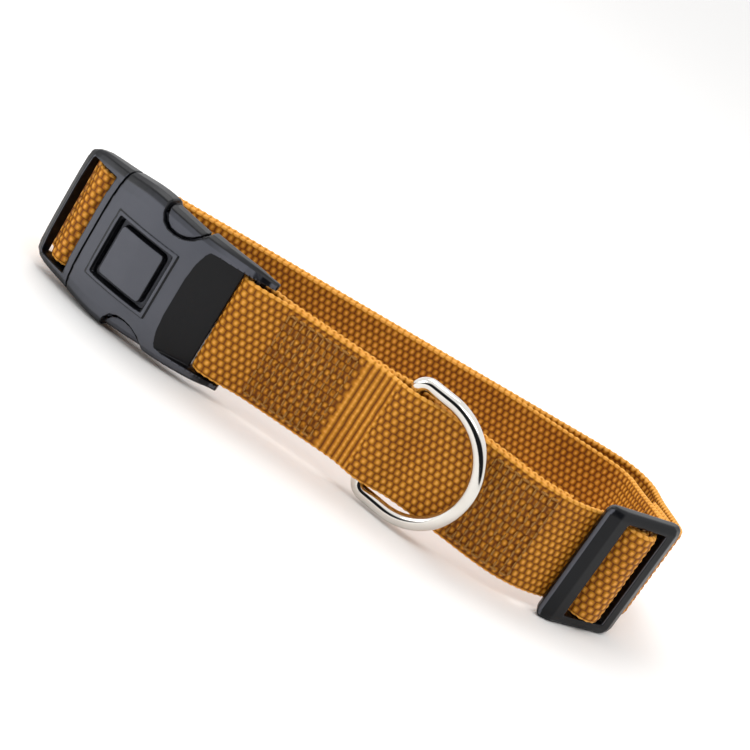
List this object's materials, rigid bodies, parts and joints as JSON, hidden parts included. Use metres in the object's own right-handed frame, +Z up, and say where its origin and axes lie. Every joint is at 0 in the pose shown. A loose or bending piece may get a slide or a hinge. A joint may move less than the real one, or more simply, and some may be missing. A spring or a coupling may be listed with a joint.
{
  "type": "pet collar",
  "caption": "Flat webbing pet collar with a curved side-release buckle, a D-ring for a leash and a slider that sets its length.",
  "frame": {"origin": "middle of the footprint, on the surface that the collar stands on", "axes": "+Z up across the width of the webbing, +X along the front run from the buckle to the slider, -Y out of the front of the collar, where the D-ring lies"},
  "size_m": [0.1614, 0.0682, 0.0343],
  "materials": {
    "webbing": "woven",
    "buckle_plastic": "satin",
    "ring_metal": "polished nickel"
  },
  "bodies": {
    "collar": {"strap": "webbing", "buckle_socket": "buckle_plastic", "buckle_plug": "buckle_plastic", "tri_glide": "buckle_plastic"},
    "ring": {"d_ring": "ring_metal"}
  },
  "joints": [
    {"name": "d_ring_swing", "type": "hinge", "parent": "collar", "child": "ring", "pos_m": [0.01177, -0.02639, 0.0172], "axis": [0, 0, 1], "range_deg": [-150, 0]}
  ]
}
